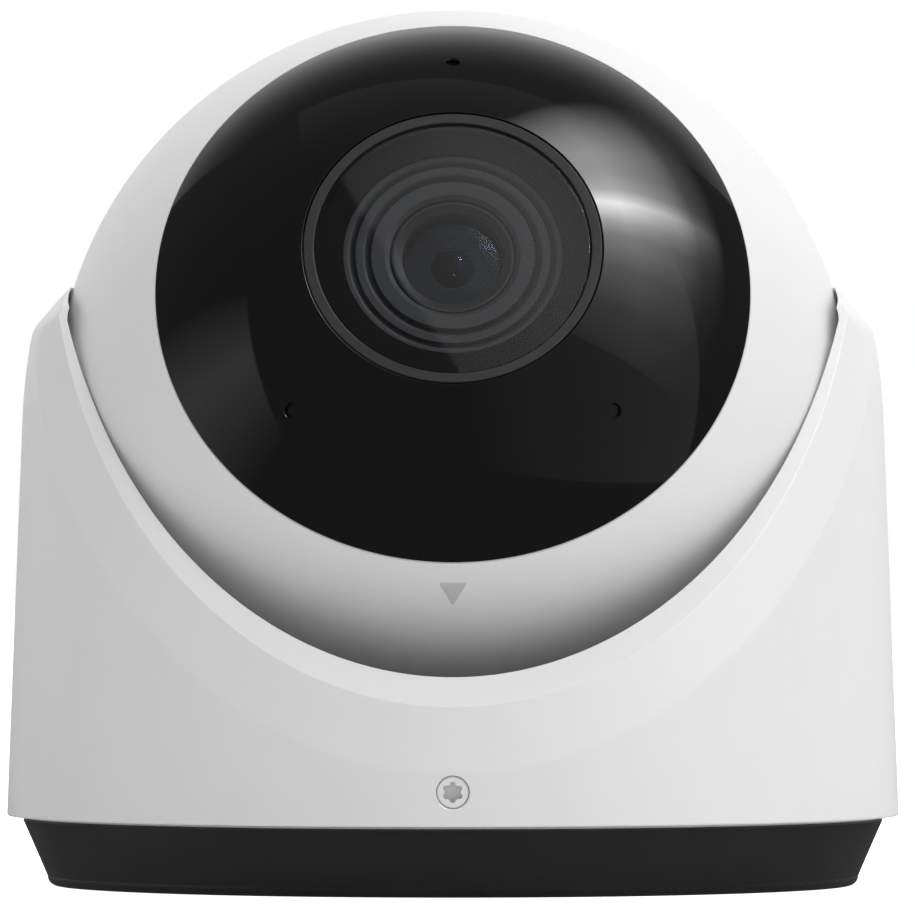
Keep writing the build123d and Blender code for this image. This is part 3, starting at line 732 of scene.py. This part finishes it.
BEHIND_FADE = ((0, 1), (0.776, 1), (0.936, 0.6), (1.17, 0.29), (1.33, 0.16), (1.56, 0.07), (1.9, 0))
VEIL_SIZE = (0.7, 0.42)
VEIL_FADE = ((0, 0.5), (0.02, 0.6), (0.06, 1))
WORLD_LEVEL = 0.375
WORLD_IN_GLOSS = 0.12
FLOOR_GLOW = 0.1


def add_camera():
    data = bpy.data.cameras.new("camera")
    data.lens = CAMERA_LENS
    data.sensor_width = 36.0
    data.clip_start = 0.1
    data.clip_end = 20.0
    camera = bpy.data.objects.new("camera", data)
    camera.location = SIGHT
    camera.rotation_euler = (radians(90), 0, 0)
    bpy.context.scene.collection.objects.link(camera)
    bpy.context.scene.camera = camera


def share_at(tree, position, stops):
    """A share from 0 to 1 by the position across a lamp, from (position, share) stops."""
    ramp = tree.nodes.new("ShaderNodeValToRGB")
    points = ramp.color_ramp.elements
    while len(points) < len(stops):
        points.new(1.0)
    for point, (spot, share) in zip(points, stops):
        point.position = spot
        point.color = (share, share, share, 1)
    link(tree, position, ramp.inputs["Fac"])
    return ramp.outputs["Color"]


def softbox(name, centre, across, normal, size, radiance, width_stops=EVEN, height_stops=EVEN):
    """An area light that shows in gloss alone, dimmed by stops; across is along its width."""
    data = bpy.data.lights.new(name, "AREA")
    data.shape = "RECTANGLE"
    data.size, data.size_y = size
    data.energy = radiance * pi * size[0] * size[1]
    data.use_nodes = True
    tree = data.node_tree
    spot = tree.nodes.new("ShaderNodeNewGeometry")
    parts = tree.nodes.new("ShaderNodeSeparateXYZ")
    link(tree, spot.outputs["Parametric"], parts.inputs["Vector"])
    share = tree.nodes.new("ShaderNodeMath")
    share.operation = "MULTIPLY"
    link(tree, share_at(tree, parts.outputs["X"], width_stops), share.inputs[0])
    link(tree, share_at(tree, parts.outputs["Y"], height_stops), share.inputs[1])
    link(tree, share.outputs["Value"], tree.nodes["Emission"].inputs["Strength"])
    lamp = bpy.data.objects.new(name, data)
    side = (across - normal * across.dot(normal) / normal.length_squared).normalized()
    back = -normal.normalized()
    turn = Matrix((side, back.cross(side), back)).transposed().to_4x4()
    lamp.matrix_world = Matrix.Translation(centre) @ turn
    lamp.visible_camera = False
    lamp.visible_diffuse = False
    bpy.context.scene.collection.objects.link(lamp)
    return lamp


def fill(name, direction, size, radiance):
    """A broad soft light that shades the white parts and doesn't show in gloss."""
    direction = Vector(direction).normalized()
    across = Vector((0, 0, 1)).cross(direction)
    if across.length < 0.1:
        across = Vector((1, 0, 0))
    lamp = softbox(name, BALL + direction * STUDIO, across, -direction, (size, size), radiance)
    lamp.visible_diffuse = True
    lamp.visible_glossy = False


def span(low, high, stops):
    """Stops given in the lamp's own measure, taken to 0 to 1 over its width or height."""
    return [((position - low) / (high - low), share) for position, share in stops]


def panel(name, offset, across, normal, size, radiance, width_stops=EVEN, height_stops=EVEN):
    """A large softbox out in the room; its offset and size are shares of the room's depth."""
    width, height = size
    size = (width * ROOM, height * ROOM)
    softbox(name, BALL + offset * ROOM, across, normal, size, radiance, width_stops, height_stops)


def add_key():
    """The main softbox, up at the right: a bright band in a wide glow."""
    left, right = KEY_WIDTH
    low, high = KEY_HEIGHT
    upward = KEY_AIM.cross(KEY_ALONG)
    offset = KEY_AIM + KEY_ALONG * (left + right) / 2 + upward * (low + high) / 2
    fade = span(left, right, KEY_FADE)
    band = span(low, high, KEY_BELOW + KEY_ABOVE)
    panel("key", offset, KEY_ALONG, -KEY_AIM, (right - left, high - low), KEY_RADIANCE, fade, band)


def add_lights():
    add_key()
    side = Vector((0, 0.845, -0.535))
    rise = Vector((0, 0.535, 0.845))
    offset = Vector((-1, 0, 0)) - side * 0.065 - rise * 0.175
    fade = span(-0.65, 0.3, LEFT_FADE)
    panel("left", offset, side, Vector((1, 0, 0)), (1.13, 0.95), 0.52, height_stops=fade)
    offset = Vector((0.13, 0.11, 1))
    across = Vector((1, -0.174, 0)).normalized()
    panel("overhead", offset, across, Vector((0, 0, -1)), (1.4, 0.43), 0.10, height_stops=FADE_UP)
    offset = Vector((0, 1, 1))
    fade = span(0, 2, BEHIND_FADE)
    panel("behind", offset, Vector((-1, 0, 0)), Vector((0, -1, 0)), (3, 2), 1.14, height_stops=fade)
    toward_right = Vector((0.6, -0.75, 0.3)).normalized()
    panel("front_right", toward_right, Vector((0.78, 0.62, 0)), -toward_right, (1.5, 1.5), 0.24, FADE_UP)
    toward_glint = Vector((0.06, -0.63, 0.77)).normalized()
    centre = BALL + toward_glint * STUDIO
    softbox("glint", centre, Vector((1, 0.1, 0)), -toward_glint, (0.025, 0.035), 45.0)
    for name, direction, size, radiance in FILLS:
        fill(name, direction, size, radiance)


def window_hit(across, up, distance):
    """Where the line of sight lands after the window reflects it, from a point on the glass."""
    point = HEAD @ (Vector((across, up, GLASS_FRONT)) * MM)
    sight = (point - SIGHT).normalized()
    return point + sight.reflect(LENS_AXIS) * distance


def add_veil():
    """A softbox overhead in front, whose edge shows as a slanted line across the window."""
    first = window_hit(-12.7, 11.0, STUDIO)
    last = window_hit(3.6, -15.6, STUDIO)
    lit = window_hit(8.0, 8.0, STUDIO)
    edge = (last - first).normalized()
    normal = (BALL - first).normalized()
    inward = (lit - first) - edge * (lit - first).dot(edge)
    inward.normalize()
    centre = (first + last) / 2 + inward * VEIL_SIZE[1] / 2
    across = normal.cross(inward)
    softbox("veil", centre, across, normal, VEIL_SIZE, 0.8, height_stops=VEIL_FADE)


def add_world():
    """An even white surround: full to the camera, soft on the paint and faint in gloss."""
    world = bpy.data.worlds.new("studio")
    bpy.context.scene.world = world
    world.use_nodes = True
    tree = world.node_tree
    background = tree.nodes["Background"]
    background.inputs["Color"].default_value = (1, 1, 1, 1)
    path = tree.nodes.new("ShaderNodeLightPath")
    level = tree.nodes.new("ShaderNodeMapRange")
    level.inputs["To Min"].default_value = WORLD_LEVEL
    level.inputs["To Max"].default_value = WORLD_IN_GLOSS
    link(tree, path.outputs["Is Glossy Ray"], level.inputs["Value"])
    seen = tree.nodes.new("ShaderNodeMath")
    seen.operation = "MAXIMUM"
    link(tree, level.outputs["Result"], seen.inputs[0])
    link(tree, path.outputs["Is Camera Ray"], seen.inputs[1])
    link(tree, seen.outputs["Value"], background.inputs["Strength"])


def add_floor():
    """A pale floor, white to the camera, which sends a little light up."""
    half = 3.0
    mesh = bpy.data.meshes.new("floor")
    corners = [(-half, -half, 0), (half, -half, 0), (half, half, 0), (-half, half, 0)]
    mesh.from_pydata(corners, [], [(0, 1, 2, 3)])
    floor = bpy.data.objects.new("floor", mesh)
    bpy.context.scene.collection.objects.link(floor)
    material = bpy.data.materials.new("pale_floor")
    tree, shader = nodes_of(material)
    shader.inputs["Base Color"].default_value = (0.9, 0.9, 0.9, 1)
    shader.inputs["Roughness"].default_value = 0.9
    shader.inputs["Emission Color"].default_value = (1, 1, 1, 1)
    path = tree.nodes.new("ShaderNodeLightPath")
    glow = tree.nodes.new("ShaderNodeMath")
    glow.operation = "MAXIMUM"
    glow.inputs[1].default_value = FLOOR_GLOW
    link(tree, path.outputs["Is Camera Ray"], glow.inputs[0])
    link(tree, glow.outputs["Value"], shader.inputs["Emission Strength"])
    mesh.materials.append(material)
    floor.visible_glossy = False


# ---- build ----
dress_cad_nodes()
place(housing(), "housing", "white_paint", "housing_cover")
place(front_shell(), "eyeball", "white_paint", "front_shell")
place(rear_shell(), "eyeball", "white_paint", "rear_shell")
place(front_cover(), "eyeball", "face_black", "front_cover")
place(direction_mark(), "eyeball", "mark_grey", "direction_mark")
place(lens_ring(), "eyeball", "ring_black", "lens_ring")
place(window_glass(), "eyeball", "window_glass", "window_glass")
place(window_gasket(), "eyeball", "rubber", "window_gasket")
place(lens_baffle(), "eyeball", "inner_black", "lens_baffle")
place(lens_barrel(), "eyeball", "barrel_black", "lens_barrel")
place(dome("front_element", LENS_RADIUS, 39.9, 41.3, 0.8), "eyeball", "lens_glass", "front_lens")
place(dome("middle_element", 4.6, 34.0, 35.4, 2.6), "eyeball", "lens_glass", "middle_lens")
place(iris(), "eyeball", "inner_black", "iris_stop")
add_camera()
add_lights()
add_veil()
add_world()
add_floor()
bpy.context.scene.view_settings.view_transform = "Standard"
